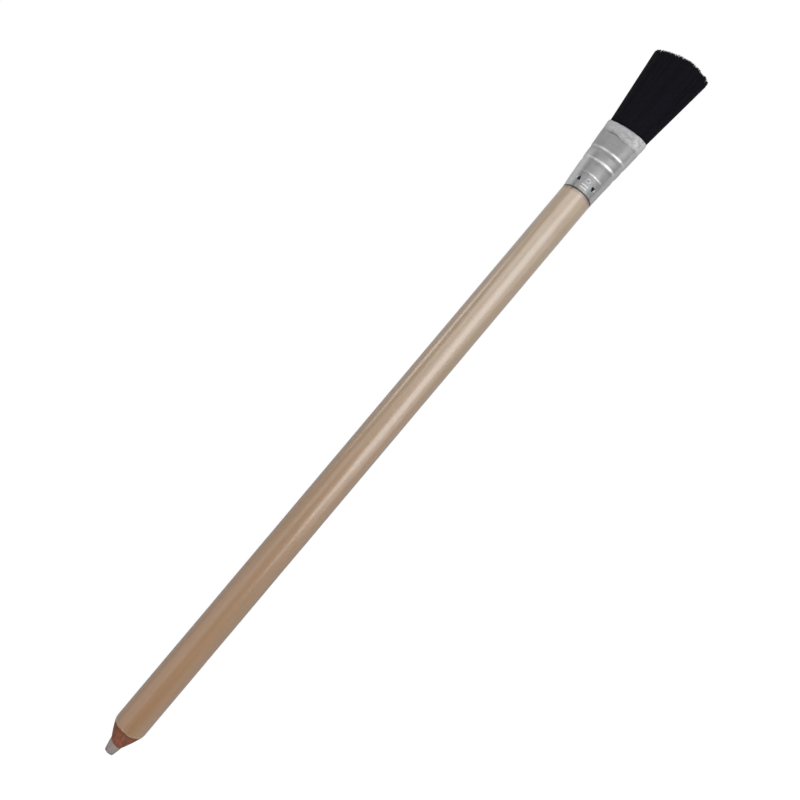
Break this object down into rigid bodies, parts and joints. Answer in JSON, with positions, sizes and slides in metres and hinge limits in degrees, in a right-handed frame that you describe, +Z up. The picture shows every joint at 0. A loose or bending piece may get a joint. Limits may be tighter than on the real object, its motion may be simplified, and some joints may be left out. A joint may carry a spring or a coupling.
{
  "type": "eraser pencil with dusting brush",
  "caption": "Round wood-cased eraser pencil, sharpened to a blunt eraser point, with a flat black dusting brush in a crimped metal ferrule.",
  "frame": {"origin": "on the surface that the pencil lies on, under the middle of its length and under its axis", "axes": "+X along the pencil from the eraser point to the brush, +Z up, square to the flat of the brush, +Y across the flat of the brush"},
  "size_m": [0.1976, 0.0137, 0.0075],
  "materials": {
    "eraser_compound": "matt, gritty",
    "cedar": "bare, cut by a sharpener",
    "wood_glue": "cured film",
    "lacquer": "satin lacquer",
    "ferrule_metal": "dull, crimped and punched",
    "bristle_glue": "hard resin",
    "bristle_fibre": "black fibre with a low sheen"
  },
  "bodies": {
    "root": {"eraser_core": "eraser_compound", "slat_upper": "cedar", "slat_lower": "cedar", "slat_glue_film": "wood_glue", "lacquer_coat": "lacquer", "ferrule": "ferrule_metal", "bristle_glue_plug": "bristle_glue", "bristle_tuft": "bristle_fibre"}
  },
  "joints": []
}
